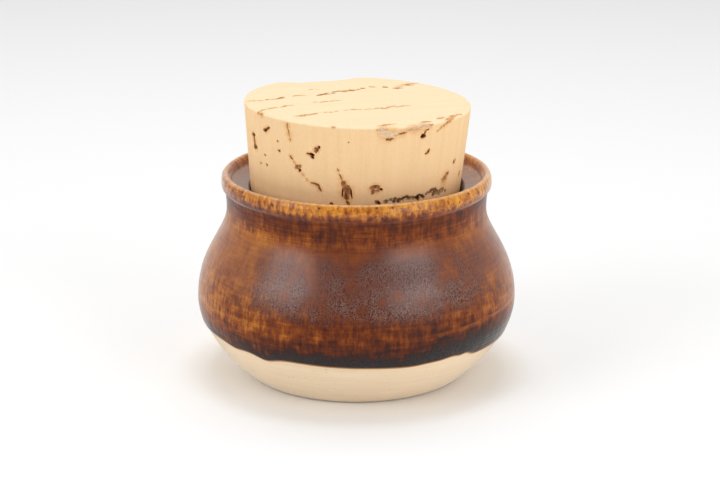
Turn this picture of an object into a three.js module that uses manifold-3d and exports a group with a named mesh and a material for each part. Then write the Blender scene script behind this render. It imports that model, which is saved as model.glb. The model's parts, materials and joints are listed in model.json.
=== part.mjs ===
// A small thrown stoneware jar, glazed brown above a bare clay foot and shut with a tapered cork.
// Millimetres. The jar's axis is Z, +Z is up, and the flat foot stands on Z = 0.
import * as THREE from "three";
import { mergeVertices } from "three/addons/utils/BufferGeometryUtils.js";
import Module from "manifold-3d";

const wasm = await Module();
wasm.setup();

// Jar, outside
const FOOT_R = 24.4;
const FOOT_LEAVE = [3.7, 2.15]; // the way the wall leaves the foot, out and up
const BELLY_R = 36.0;
const BELLY_Z = 17.6;
const BELLY_FULL_BELOW = 7.1; // how far the belly's upright stretch pulls the curve below and above it
const BELLY_FULL_ABOVE = 10.6;
const NECK_R = 29.15;
const NECK_Z = 38.2;
const NECK_FULL_BELOW = 5.9;
const NECK_FULL_ABOVE = 1.6;
const GROOVE_R = 29.65; // the turned line under the lip
const GROOVE_Z = 42.5;
const GROOVE_DEEP = 0.15;
const GROOVE_FLARE = [0.45, 1.1]; // the way the neck comes up to it, out and up
const LIP_R = 30.4;
const LIP_Z = 44.4; // middle height of the rolled lip
const LIP_HALF_THICK = 1.05;
const LIP_ROLL = [-38, 165]; // degrees, where the roll starts outside and ends inside
const RIM_Z = 46.4; // top of the lip

// Jar, inside, as far down as the cork reaches. Below it nothing can be seen, and the jar is solid.
const THROAT_EDGE_R = 24.2; // where the sloping inside of the lip turns down into the throat
const THROAT_EDGE_Z = 43.3;
const THROAT_ROUND = 1.0;
const LIP_SLOPE_DROP = 0.9; // the lip's inside starts steep and then runs in nearly flat
const LIP_SLOPE_FLAT = 1.6;
const THROAT_GRIP_Z = 40; // from here down the throat closes round the cork
const CORK_GAP = 0.35;

// Glaze
const GLAZE_Z = 11.9; // mean height of its lower edge
const GLAZE_TILT = 1.2; // the edge hangs lower on one side of the jar
const GLAZE_TILT_TOWARD = -13; // degrees round from +X, the low side
const GLAZE_PROUD = 0.1; // how far the glaze stands out of the thrown form
const CLAY_BACK = 0.15; // how far the bare clay stays behind it
const GLAZE_BEAD = 0.12; // extra thickness where the glaze stopped running
const GLAZE_BEAD_TALL = 1.5;
const GLAZE_STEP = 0.25; // height of the step from clay up to glaze
// Runs (falls) and gaps (rises) in the glaze edge: degrees round from +X, rise, half width in degrees
const GLAZE_WAVES = [
  [-139, -0.6, 6],
  [-124.5, -1.1, 5.5],
  [-61, 0.5, 6],
  [-53.5, 1.0, 4],
  [-47.5, 1.2, 2.5],
  [8, 0.5, 9],
  [47, -0.7, 7],
  [82, 0.6, 10],
  [112, -0.8, 6],
  [158, -0.5, 9],
];

// Cork, in its own frame: its top face on Z = 0 and its body below
const CORK_TOP_R = 25.27; // a stock 2 inch stopper
const CORK_LENGTH = 32;
const CORK_TAPER = 5.09; // degrees, each side
const CORK_LEAN = 1.71; // degrees toward +X
const CORK_PLACE = [0.29, 0.14, 62.16]; // middle of its top face
const CORK_EDGE = 0.45; // worn top and bottom edges
const CORK_DROP = 1.1; // from the middle of its bottom face to the floor under it, as its low side needs
const DIP_AT = 112; // degrees round, the low stretch of the top's rim
const DIP_WIDE = 13;
const DIP_DEEP = 0.9;

const AROUND = 76; // steps round the jar
const CORK_AROUND = 60;

const v2 = (x, y) => new THREE.Vector2(x, y);
const radians = THREE.MathUtils.degToRad;
const wrapDegrees = (d) => ((((d + 180) % 360) + 360) % 360) - 180;

// A bump of height 1 at one azimuth, all in degrees.
const bump = (azimuth, at, halfWidth) =>
  Math.exp(-((wrapDegrees(azimuth - at) / halfWidth) ** 2));

// Foot to belly, belly to neck, and neck to groove: the thrown form that the glaze covers.
function outsideCurves() {
  const foot = v2(FOOT_R, 0);
  const belly = v2(BELLY_R, BELLY_Z);
  const neck = v2(NECK_R, NECK_Z);
  const groove = v2(GROOVE_R, GROOVE_Z);
  return [
    new THREE.CubicBezierCurve(
      foot,
      v2(FOOT_R + FOOT_LEAVE[0], FOOT_LEAVE[1]),
      v2(BELLY_R, BELLY_Z - BELLY_FULL_BELOW),
      belly,
    ),
    new THREE.CubicBezierCurve(
      belly,
      v2(BELLY_R, BELLY_Z + BELLY_FULL_ABOVE),
      v2(NECK_R, NECK_Z - NECK_FULL_BELOW),
      neck,
    ),
    new THREE.CubicBezierCurve(
      neck,
      v2(NECK_R, NECK_Z + NECK_FULL_ABOVE),
      v2(GROOVE_R - GROOVE_FLARE[0], GROOVE_Z - GROOVE_FLARE[1]),
      groove,
    ),
  ];
}

const outsideLine = outsideCurves().flatMap((curve) => curve.getPoints(60));

// The thrown form's radius at a height.
function outsideRadius(z) {
  const above = outsideLine.findIndex((p) => p.y >= z && p.y > 0);
  const a = outsideLine[Math.max(above - 1, 0)];
  const b = outsideLine[above];
  const t = b.y > a.y ? (z - a.y) / (b.y - a.y) : 0;
  return THREE.MathUtils.lerp(a.x, b.x, t);
}

function glazeEdge(azimuth) {
  const tilt = GLAZE_TILT * Math.cos(radians(azimuth - GLAZE_TILT_TOWARD));
  const waves = GLAZE_WAVES.map(([at, rise, wide]) => rise * bump(azimuth, at, wide));
  return waves.reduce((sum, wave) => sum + wave, GLAZE_Z - tilt);
}

// Bare clay from the foot up to the glaze edge, drawn back a little once it has left the foot.
function clayPoints(edge) {
  const steps = 5;
  const drawnBackBy = 3;
  return upward(0, edge - GLAZE_STEP / 2, steps, (z) => {
    return outsideRadius(z) - CLAY_BACK * Math.min(1, z / drawnBackBy);
  });
}

// Glazed wall from the glaze edge up to just below the groove, thickest where the glaze stopped.
function glazedPoints(edge) {
  const steps = 14;
  const start = edge + GLAZE_STEP / 2;
  return upward(start, GROOVE_Z - 0.5, steps, (z) => {
    const bead = GLAZE_BEAD * Math.exp(-(z - start) / GLAZE_BEAD_TALL);
    return outsideRadius(z) + GLAZE_PROUD + bead;
  });
}

function upward(from, to, steps, radius) {
  const heights = Array.from({ length: steps + 1 }, (_, i) => from + ((to - from) * i) / steps);
  return heights.map((z) => v2(radius(z), z));
}

// The groove, then the rolled lip and its crest as one arc of an ellipse.
function lipPoints() {
  const [start, end] = LIP_ROLL.map(radians);
  const middle = LIP_R - LIP_HALF_THICK;
  const tall = RIM_Z - LIP_Z;
  const roll = new THREE.EllipseCurve(middle, LIP_Z, LIP_HALF_THICK, tall, start, end);
  return [v2(GROOVE_R - GROOVE_DEEP, GROOVE_Z), ...roll.getPoints(8)];
}

// From the lip down its sloping inside and over the throat's edge.
function mouthPoints() {
  const lipInside = v2(LIP_R - 2 * LIP_HALF_THICK, LIP_Z);
  const brink = v2(THROAT_EDGE_R + THROAT_ROUND, THROAT_EDGE_Z);
  const slope = new THREE.CubicBezierCurve(
    lipInside,
    v2(lipInside.x - LIP_SLOPE_DROP / 2, LIP_Z - LIP_SLOPE_DROP),
    v2(brink.x + LIP_SLOPE_FLAT, brink.y + LIP_SLOPE_FLAT / 5),
    brink,
  );
  const edge = new THREE.QuadraticBezierCurve(
    brink,
    v2(THROAT_EDGE_R, THROAT_EDGE_Z),
    v2(THROAT_EDGE_R, THROAT_EDGE_Z - THROAT_ROUND),
  );
  return [...slope.getPoints(5), ...edge.getPoints(4).slice(1)];
}

const corkRadius = (z) => CORK_TOP_R + z * Math.tan(radians(CORK_TAPER));

// The throat's wall round the leaning cork, at one azimuth and height.
function gripPoint(azimuth, z) {
  const below = CORK_PLACE[2] - z;
  const middle = CORK_PLACE[0] - below * Math.tan(radians(CORK_LEAN));
  const across = middle * Math.cos(radians(azimuth)) + CORK_PLACE[1] * Math.sin(radians(azimuth));
  return v2(corkRadius(-below) + CORK_GAP + across, z);
}

// The throat down to just under the cork, and the floor that it leaves there.
function throatPoints(azimuth) {
  const bottom = CORK_PLACE[2] - CORK_LENGTH - CORK_DROP;
  const wall = [THROAT_GRIP_Z, (THROAT_GRIP_Z + bottom) / 2, bottom];
  return [...wall.map((z) => gripPoint(azimuth, z)), v2(0, bottom)];
}

// The jar's whole section at one azimuth, from the middle of the foot round to the throat's floor.
function jarSection(azimuth) {
  const edge = glazeEdge(azimuth);
  return [
    v2(0, 0),
    ...clayPoints(edge),
    ...glazedPoints(edge),
    ...lipPoints(),
    ...mouthPoints(),
    ...throatPoints(azimuth),
  ];
}

// A LatheGeometry stood on Z whose section may differ at each azimuth.
function turned(section, steps) {
  const points = section(0).length;
  const lathe = new THREE.LatheGeometry(section(0), steps);
  const position = lathe.getAttribute("position");
  for (let i = 0; i <= steps; i++) {
    const azimuth = (360 * (i % steps)) / steps;
    section(azimuth).forEach((p, j) => {
      const x = p.x * Math.cos(radians(azimuth));
      const y = p.x * Math.sin(radians(azimuth));
      position.setXYZ(i * points + j, x, y, p.y);
    });
  }
  return welded(lathe);
}

// The same triangles on shared vertices, without the empty ones that a pole leaves.
function welded(geometry) {
  const bare = geometry.clone();
  bare.deleteAttribute("normal");
  bare.deleteAttribute("uv");
  const merged = mergeVertices(bare, 1e-4);
  const index = Array.from(merged.index.array);
  const kept = [];
  for (let i = 0; i < index.length; i += 3) {
    const [a, b, c] = index.slice(i, i + 3);
    if (a !== b && b !== c && c !== a) kept.push(a, b, c);
  }
  merged.setIndex(kept);
  return merged;
}

function solid(geometry) {
  const mesh = new wasm.Mesh({
    numProp: 3,
    vertProperties: new Float32Array(geometry.getAttribute("position").array),
    triVerts: new Uint32Array(geometry.index.array),
  });
  return new wasm.Manifold(mesh);
}

function fromSolid(manifold) {
  const mesh = manifold.getMesh();
  const geometry = new THREE.BufferGeometry();
  geometry.setAttribute("position", new THREE.BufferAttribute(mesh.vertProperties, 3));
  geometry.setIndex(new THREE.BufferAttribute(mesh.triVerts, 1));
  geometry.computeVertexNormals();
  return geometry;
}

function corkSection(azimuth) {
  const low = DIP_DEEP * bump(azimuth, DIP_AT, DIP_WIDE);
  const top = (r) => -low * THREE.MathUtils.smoothstep(r, 10, CORK_TOP_R);
  const bottom = -CORK_LENGTH;
  const rim = CORK_TOP_R - CORK_EDGE;
  return [
    v2(0, bottom),
    v2(corkRadius(bottom) - CORK_EDGE, bottom),
    v2(corkRadius(bottom), bottom + CORK_EDGE),
    v2(corkRadius(-16), -16),
    v2(CORK_TOP_R - 0.05, top(rim) - CORK_EDGE),
    v2(rim, top(rim)),
    v2(18, top(18)),
    v2(10, 0),
    v2(0, 0),
  ];
}

// A hole in the cork's side: where round it, how far below the top, and its size and turn.
function pore({ azimuth, below, across, tall, turn = 0, deep = 0.9 }) {
  const ball = new THREE.SphereGeometry(0.5, 8, 6);
  const place = new THREE.Group();
  const hole = new THREE.Object3D();
  hole.position.set(corkRadius(-below), 0, -below);
  hole.rotation.set(radians(turn), 0, 0);
  hole.scale.set(2 * deep, across, tall);
  place.rotation.z = radians(azimuth);
  place.add(hole);
  place.updateMatrixWorld(true);
  return solid(welded(ball).applyMatrix4(hole.matrixWorld));
}

// A crack in the cork's top: a thin lens drawn round a line of places on the face, cut straight down.
function crack({ path, wide, deep }) {
  const line = new THREE.SplineCurve(path.map(([x, y]) => v2(x, y)));
  const steps = 3 * (path.length - 1);
  const left = [];
  const right = [];
  for (let i = 1; i < steps; i++) {
    const at = line.getPoint(i / steps);
    const along = line.getTangent(i / steps);
    const ragged = 0.7 + 0.3 * Math.cos(2.4 * i);
    const half = 0.5 * wide * ragged * Math.sin((Math.PI * i) / steps) ** 0.4;
    left.push(v2(at.x - along.y * half, at.y + along.x * half));
    right.unshift(v2(at.x + along.y * half, at.y - along.x * half));
  }
  const ends = [line.getPoint(0), line.getPoint(1)];
  const outline = new THREE.Shape([ends[0], ...right.reverse(), ends[1], ...left.reverse()]);
  const cut = new THREE.ExtrudeGeometry(outline, { depth: deep + 2, bevelEnabled: false });
  cut.translate(0, 0, -deep);
  return solid(welded(cut));
}

const PORES = [
  { azimuth: -154.5, below: 7.1, across: 0.8, tall: 3.0, turn: -8 },
  { azimuth: -141, below: 3.2, across: 1.4, tall: 0.9 },
  { azimuth: -125, below: 2.3, across: 0.5, tall: 3.2, turn: 12 },
  { azimuth: -120, below: 10.2, across: 1.8, tall: 1.6, turn: 30 },
  { azimuth: -113.5, below: 6.8, across: 1.6, tall: 1.1 },
  { azimuth: -110, below: 5.5, across: 1.6, tall: 1.8 },
  { azimuth: -109, below: 13.9, across: 2.7, tall: 1.4, turn: 35 },
  { azimuth: -94.5, below: 14.1, across: 2.5, tall: 5.6, turn: 12, deep: 1.6 },
  { azimuth: -79.5, below: 13.6, across: 3.4, tall: 1.8, deep: 1.2 },
  { azimuth: -55.5, below: 1.8, across: 1.1, tall: 1.5, deep: 1.4 },
  { azimuth: -51.5, below: 6.2, across: 1.1, tall: 1.4 },
  { azimuth: -36, below: 13.3, across: 2.0, tall: 2.3 },
  { azimuth: -28.5, below: 10.2, across: 0.9, tall: 1.1 },
  { azimuth: 15, below: 8.5, across: 1.5, tall: 1.2 },
  { azimuth: 48, below: 12.5, across: 2.2, tall: 1.3, turn: 20 },
  { azimuth: 76, below: 4.5, across: 1.2, tall: 1.9 },
  { azimuth: 104, below: 10.5, across: 1.6, tall: 3.4, turn: -15 },
  { azimuth: 141, below: 6.0, across: 1.8, tall: 1.2 },
  { azimuth: 168, below: 12.0, across: 1.2, tall: 2.4, turn: 10 },
];

// The broken top edge, front right, and the strip of rough bark that comes out just above the lip.
const CHIPS = [
  { azimuth: -73, below: 0.9, across: 6.5, tall: 2.9, deep: 0.6 },
  { azimuth: -50, below: 0.2, across: 8.0, tall: 1.9, deep: 0.5 },
];
const BARK = [-77, -69, -61, -53, -45, -37].map((azimuth, i) => ({
  azimuth,
  below: 16.9 - 0.12 * i,
  across: 3.6,
  tall: 1.3,
  turn: 6,
  deep: 0.5,
}));

const CRACKS = [
  { path: [[-24, -3.4], [-18.4, -0.2], [-11.5, 4.2]], wide: 0.55, deep: 0.8 },
  { path: [[-7.5, 6.8], [-2.6, 10.4], [5.8, 14.6], [14.2, 18.8]], wide: 0.6, deep: 0.8 },
  { path: [[-20.7, -12.5], [-13.8, -6.1], [-5.5, -0.5], [2.3, 3.9]], wide: 0.4, deep: 0.5 },
  { path: [[-14.2, -16.7], [-6.1, -11.9], [1.1, -8.2]], wide: 0.45, deep: 0.6 },
  { path: [[3.5, -7.4], [8.4, -4.4], [14.4, -1.2]], wide: 0.45, deep: 0.6 },
];

function corkGeometry() {
  const cuts = [...PORES, ...CHIPS, ...BARK].map(pore).concat(CRACKS.map(crack));
  const body = solid(turned(corkSection, CORK_AROUND));
  return fromSolid(cuts.reduce((rest, cut) => rest.subtract(cut), body));
}

function piece(name, geometry, look) {
  const mesh = new THREE.Mesh(geometry, new THREE.MeshStandardMaterial(look));
  mesh.name = name;
  return mesh;
}

const jar = piece("jar", turned(jarSection, AROUND), {
  color: 0x7d4427,
  roughness: 0.3,
  metalness: 0,
});

const cork = piece("cork", corkGeometry(), {
  color: 0xe2bd8c,
  roughness: 0.9,
  metalness: 0,
});
cork.position.set(...CORK_PLACE);
cork.rotation.y = radians(CORK_LEAN);

const corkedJar = new THREE.Group();
corkedJar.add(jar, cork);
export default corkedJar;
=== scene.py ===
"""A small thrown stoneware jar, glazed brown over a bare clay foot and shut with a tapered cork.

Metres, +Z up, the jar standing on Z = 0 with its axis on Z. The lengths named below are in
millimetres, and MM turns them into metres. An azimuth is in degrees round from +X.
"""

import json
import math
import random

import bpy
from bpy.props import FloatProperty, FloatVectorProperty, IntProperty, PointerProperty
from mathutils import Euler, Matrix, Vector

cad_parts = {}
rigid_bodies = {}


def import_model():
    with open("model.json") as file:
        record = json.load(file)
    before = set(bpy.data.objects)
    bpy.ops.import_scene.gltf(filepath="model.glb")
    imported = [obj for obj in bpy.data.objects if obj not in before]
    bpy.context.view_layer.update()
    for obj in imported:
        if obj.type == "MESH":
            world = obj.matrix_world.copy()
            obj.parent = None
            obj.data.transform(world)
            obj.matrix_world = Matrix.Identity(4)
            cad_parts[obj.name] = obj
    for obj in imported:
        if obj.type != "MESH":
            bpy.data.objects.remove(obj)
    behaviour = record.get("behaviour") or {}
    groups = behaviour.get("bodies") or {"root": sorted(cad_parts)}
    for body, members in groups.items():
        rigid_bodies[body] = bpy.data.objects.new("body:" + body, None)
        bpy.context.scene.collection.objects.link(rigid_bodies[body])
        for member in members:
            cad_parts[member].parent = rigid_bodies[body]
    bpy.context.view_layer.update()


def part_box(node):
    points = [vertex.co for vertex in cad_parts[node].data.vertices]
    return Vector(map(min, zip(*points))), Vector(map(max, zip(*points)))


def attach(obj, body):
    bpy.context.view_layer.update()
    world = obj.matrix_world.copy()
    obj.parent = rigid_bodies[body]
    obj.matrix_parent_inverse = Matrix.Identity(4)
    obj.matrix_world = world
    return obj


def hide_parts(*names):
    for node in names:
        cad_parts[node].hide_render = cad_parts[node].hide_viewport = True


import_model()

bl_info = {
    "name": "Glazed corked jar",
    "version": (1, 0, 0),
    "blender": (4, 5, 0),
    "location": "View3D > Sidebar > Jar",
    "description": "Models a thrown, glazed jar and its cork",
    "category": "Add Mesh",
}

MM = 0.001
JAR_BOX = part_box("jar")

# The jar's thrown form: radius and height of its turning points, and the pull of its curves
GLAZE_PROUD = 0.1  # how far the glaze stands out of the thrown form
BELLY_R = (JAR_BOX[1].x - JAR_BOX[0].x) / 2 / MM - GLAZE_PROUD
RIM_Z = JAR_BOX[1].z / MM
FOOT_R = 24.4
FOOT_LEAVE = (3.7, 2.15)
FOOT_EDGE = 0.3  # how far the foot's edge is worn round
BELLY_Z = 17.6
BELLY_FULL_BELOW = 7.1
BELLY_FULL_ABOVE = 10.6
NECK_R = 29.15
NECK_Z = 38.2
NECK_FULL_BELOW = 5.9
NECK_FULL_ABOVE = 1.6
GROOVE_R = 29.65
GROOVE_Z = 42.5
GROOVE_DEEP = 0.17
GROOVE_TALL = 0.3
GROOVE_FLARE = (0.45, 1.1)
LIP_BEGINS = (41, 42.3)  # the heights between which the wall passes into the lip
LIP_R = 30.4
LIP_Z = 44.4
LIP_HALF_THICK = 1.05
LIP_ROLL = (-38, 165)  # degrees
LIP_STEPS = 40
SLOPE_STEPS = 16
BRINK_STEPS = 8
THROAT_EDGE_R = 24.2
THROAT_EDGE_Z = 43.3
THROAT_ROUND = 1.0
LIP_SLOPE_DROP = 0.9
LIP_SLOPE_FLAT = 1.6
THROAT_R = 23.95
THROAT_Z = 37.0
WELL_R = 23.2  # the throat's floor, just under the cork
WELL_Z = 29.2
WELL_ROUND = 0.5
CURVE_STEPS = 80
JAR_AROUND = 288
RING_STEP = 0.45
FINE_STEP = 0.1  # between the rings about the glaze edge and the groove
FINE_ABOUT_EDGE = 3.4
FINE_BELOW_GROOVE = 2.4
UNEVEN = 0.12  # how far the thrown wall strays, in waves UNEVEN_WAVE across
UNEVEN_WAVE = 7
UNEVEN_FROM = 3  # the foot is true below this height

# The glaze's lower edge, its thickness, and the clay drawn back below it
GLAZE_TILT = 1.2
GLAZE_TILT_TOWARD = -13
CLAY_BACK = 0.15
CLAY_BACK_FROM = 3  # the height from which the clay is drawn back all the way
GLAZE_BEAD = 0.13
GLAZE_BEAD_TALL = 1.5
GLAZE_STEP = 0.3
# Runs and gaps in the glaze edge: azimuth, rise, half width in degrees
GLAZE_WAVES = (
    (-139, -0.6, 6),
    (-124.5, -1.1, 5.5),
    (-61, 0.45, 6),
    (-53, 0.95, 4.5),
    (-46.5, 0.9, 2.8),
    (8, 0.5, 9),
    (47, -0.7, 7),
    (82, 0.6, 10),
    (112, -0.8, 6),
    (158, -0.5, 9),
)

# The cork, in its own frame with its top face on Z = 0
CORK_EDGE = 0.45
CORK_PLACE = Vector((0.29, 0.14, 62.16))
DIP_AT = 112  # azimuth of the dip in the top's far edge
DIP_WIDE = 19  # degrees
DIP_DEEP = 0.9
DIP_FROM_R = 8  # how far from the middle the dip begins
DIP_FROM_Z = -3
DIP_FULL_Z = -0.3
CORK_AROUND = 264
SHOWN = 20  # as far down as the cork is seen
SIDE_STEP = 0.45  # between the rings of the side, wider where it is hidden
HIDDEN_STEP = 1.5
LAST_STEP = 0.3  # the least that is left below the rounded edge
EDGE_STEPS = 4
EDGE_TUCK = 0.04  # how far the rounded edge draws in
TOP_MARGIN = 0.6
TOP_STEP = 0.8
SMOOTH_UP_TO = 32  # degrees between faces that are shaded as one
CRACK_STAIN = 0.7  # how far the cork is stained round a crack in the top
STAIN_REACH = 0.8  # how far it is stained round a pore, as a share of the pore

# The floor, and the lights: where each stands and how wide it is, in metres
FLOOR_WIDE = 6
OVERHEAD_LIGHT = (Vector((0.0, 0.13, 0.74)), 0.4)
LEFT_LIGHT = (Vector((-0.53, -0.33, 0.31)), 0.40)
RIGHT_LIGHT = (Vector((0.44, -0.42, 0.20)), 0.42)
LIT = Vector((0, 0, 0.03))
SENSOR_WIDE = 36  # millimetres


# Plain measures

def turn_between(a, b):
    """The turn from one azimuth to another, -180 to 180 degrees."""
    return (a - b + 180) % 360 - 180


def swell(azimuth, at, half_width):
    """A bump of height 1 at one azimuth."""
    return math.exp(-((turn_between(azimuth, at) / half_width) ** 2))


def smoothstep(low, high, value):
    t = min(max((value - low) / (high - low), 0), 1)
    return t * t * (3 - 2 * t)


def azimuth_of(co):
    return math.degrees(math.atan2(co.y, co.x))


def bezier(p, steps):
    """Points on a cubic curve from its four control points."""
    points = []
    for i in range(steps + 1):
        t = i / steps
        k = ((1 - t) ** 3, 3 * t * (1 - t) ** 2, 3 * t * t * (1 - t), t**3)
        points.append(tuple(sum(k[j] * p[j][axis] for j in range(4)) for axis in (0, 1)))
    return points


def thrown_line(jar):
    """The thrown form's outline from foot to groove, radius and height in millimetres."""
    belly, neck = jar.belly_radius / MM, jar.neck_radius / MM
    foot = (FOOT_R, 0)
    foot_leaves = (FOOT_R + FOOT_LEAVE[0], FOOT_LEAVE[1])
    below_belly = (belly, BELLY_Z - BELLY_FULL_BELOW)
    above_belly = (belly, BELLY_Z + BELLY_FULL_ABOVE)
    below_neck = (neck, NECK_Z - NECK_FULL_BELOW)
    above_neck = (neck, NECK_Z + NECK_FULL_ABOVE)
    to_groove = (GROOVE_R - GROOVE_FLARE[0], GROOVE_Z - GROOVE_FLARE[1])
    groove = (GROOVE_R, GROOVE_Z)
    return (
        bezier((foot, foot_leaves, below_belly, (belly, BELLY_Z)), CURVE_STEPS)
        + bezier(((belly, BELLY_Z), above_belly, below_neck, (neck, NECK_Z)), CURVE_STEPS)[1:]
        + bezier(((neck, NECK_Z), above_neck, to_groove, groove), CURVE_STEPS // 2)[1:]
    )


def radius_at(line, height):
    for (r0, z0), (r1, z1) in zip(line, line[1:]):
        if z0 <= height <= z1:
            return r0 + (r1 - r0) * (height - z0) / max(z1 - z0, 1e-9)
    return line[-1][0]


def glaze_edge(azimuth, mean):
    """Height of the glaze's lower edge at one azimuth, in millimetres."""
    tilt = GLAZE_TILT * math.cos(math.radians(azimuth - GLAZE_TILT_TOWARD))
    return mean - tilt + sum(rise * swell(azimuth, at, wide) for at, rise, wide in GLAZE_WAVES)


def glazed_to_groove(height):
    """1 on the glazed wall, falling to 0 where the lip's own form begins."""
    return 1 - smoothstep(*LIP_BEGINS, height)


def wall_rings(jar):
    """Rings up the bare wall, close together where the glaze edge crosses it."""
    line = thrown_line(jar)
    heights = [FINE_STEP * i for i in range(1, 5)]
    while heights[-1] < GROOVE_Z:
        z = heights[-1]
        near_edge = abs(z - jar.glaze_height / MM) < FINE_ABOUT_EDGE
        near_groove = z > GROOVE_Z - FINE_BELOW_GROOVE
        heights.append(z + (FINE_STEP if near_edge or near_groove else RING_STEP))
    rings = []
    for z in heights:
        back = CLAY_BACK * min(1, z / CLAY_BACK_FROM) * glazed_to_groove(z)
        cut = GROOVE_DEEP * math.exp(-(((z - GROOVE_Z) / GROOVE_TALL) ** 2))
        worn = FOOT_EDGE * max(0, 1 - z / FOOT_EDGE) ** 2
        rings.append((radius_at(line, z) - back - cut - worn, z))
    return rings


def lip_rings():
    """Rings over the rolled lip, down its sloping inside and over the throat's edge."""
    rings = []
    tall = RIM_Z - LIP_Z
    for i in range(LIP_STEPS + 1):
        a = math.radians(LIP_ROLL[0] + (LIP_ROLL[1] - LIP_ROLL[0]) * i / LIP_STEPS)
        middle = LIP_R - LIP_HALF_THICK
        rings.append((middle + LIP_HALF_THICK * math.cos(a), LIP_Z + tall * math.sin(a)))
    inside = (LIP_R - 2 * LIP_HALF_THICK, LIP_Z)
    brink = (THROAT_EDGE_R + THROAT_ROUND, THROAT_EDGE_Z)
    steep = (inside[0] - LIP_SLOPE_DROP / 2, LIP_Z - LIP_SLOPE_DROP)
    flat = (brink[0] + LIP_SLOPE_FLAT, brink[1] + LIP_SLOPE_FLAT / 5)
    rings += bezier((inside, steep, flat, brink), SLOPE_STEPS)
    corner = (THROAT_EDGE_R, THROAT_EDGE_Z)
    end = (THROAT_EDGE_R, THROAT_EDGE_Z - THROAT_ROUND)
    rings += bezier((brink, corner, corner, end), BRINK_STEPS)[1:]
    well = [(WELL_R, WELL_Z + WELL_ROUND), (WELL_R - WELL_ROUND, WELL_Z)]
    return rings + [(THROAT_R, THROAT_Z)] + well


# Modelling by hand

def deselect():
    if bpy.context.object and bpy.context.object.mode == "EDIT":
        bpy.ops.object.mode_set(mode="OBJECT")
    bpy.ops.object.select_all(action="DESELECT")


def turn_up(name, rings, around):
    """Draws a disc up through rings of radius and height, as clay is drawn up on a wheel."""
    deselect()
    first_r, first_z = rings[0]
    bpy.ops.mesh.primitive_circle_add(
        vertices=around, radius=first_r * MM, fill_type="NGON", location=(0, 0, 0)
    )
    piece = bpy.context.object
    piece.name = piece.data.name = name
    bpy.ops.object.mode_set(mode="EDIT")
    bpy.ops.mesh.select_mode(type="FACE")
    bpy.ops.mesh.select_all(action="SELECT")
    if first_z:
        bpy.ops.transform.translate(value=(0, 0, first_z * MM))
    for (r0, z0), (r1, z1) in zip(rings, rings[1:]):
        bpy.ops.mesh.extrude_region_move(
            TRANSFORM_OT_translate={"value": (0, 0, (z1 - z0) * MM)}
        )
        k = r1 / r0
        bpy.ops.transform.resize(value=(k, k, 1), center_override=(0, 0, z1 * MM))
    bpy.ops.mesh.select_all(action="SELECT")
    bpy.ops.mesh.normals_make_consistent(inside=False)
    bpy.ops.object.mode_set(mode="OBJECT")
    if len(piece.data.polygons) < around * (len(rings) - 1):
        raise RuntimeError(f"{name} wasn't drawn up through all of its rings")
    return piece


def displace(piece, name, weight, strength, direction="NORMAL", texture=None):
    """Moves the surface out by strength millimetres times a weight that each point is given."""
    group = piece.vertex_groups.new(name=name)
    for v in piece.data.vertices:
        amount = weight(v.co / MM)
        if amount > 0:
            group.add([v.index], amount, "REPLACE")
    lift = piece.modifiers.new(name, "DISPLACE")
    lift.vertex_group = group.name
    lift.direction = direction
    lift.mid_level = 0.5 if texture else 0
    lift.strength = strength * MM
    if texture:
        lift.texture = texture
        lift.texture_coords = "LOCAL"
    apply_modifier(piece, lift)


def apply_modifier(piece, modifier):
    deselect()
    piece.select_set(True)
    bpy.context.view_layer.objects.active = piece
    bpy.ops.object.modifier_apply(modifier=modifier.name)


def clouds(name, size):
    """Blender's own cloud pattern, for unevenness size millimetres across."""
    texture = bpy.data.textures.new(name, "CLOUDS")
    texture.noise_scale = size * MM
    texture.noise_depth = 2
    return texture


def mark(piece, name, value):
    """Gives every point of the piece a number that its material reads."""
    numbers = [value(v.co / MM) for v in piece.data.vertices]
    piece.data.attributes.new(name, "FLOAT", "POINT").data.foreach_set("value", numbers)


# Shader maths

class Value:
    """A socket of a node. An expression on it adds the Math nodes that work it out."""

    def __init__(self, recipe, socket):
        self.recipe, self.socket = recipe, socket

    def math(self, operation, *terms):
        return self.recipe.node("Math", {"operation": operation}, dict(enumerate(terms)))

    def size(self):
        """The value without its sign."""
        return self.math("ABSOLUTE", self)

    def __add__(self, other):
        return self.math("ADD", self, other)

    __radd__ = __add__

    def __sub__(self, other):
        return self.math("SUBTRACT", self, other)

    def __rsub__(self, other):
        return self.math("SUBTRACT", other, self)

    def __mul__(self, other):
        return self.math("MULTIPLY", self, other)

    __rmul__ = __mul__

    def __truediv__(self, other):
        return self.math("DIVIDE", self, other)

    def least(self, other):
        return self.math("MINIMUM", self, other)

    def rise(self, low, high):
        """0 below low, 1 above high and smooth between. With low above high it falls."""
        settings = {"interpolation_type": "SMOOTHSTEP"}
        return self.recipe.node("MapRange", settings, {0: self, 1: low, 2: high})

    def band(self, low, high, soft):
        """1 between low and high, fading out over soft."""
        return self.rise(low - soft, low) * self.rise(high + soft, high)


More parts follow.
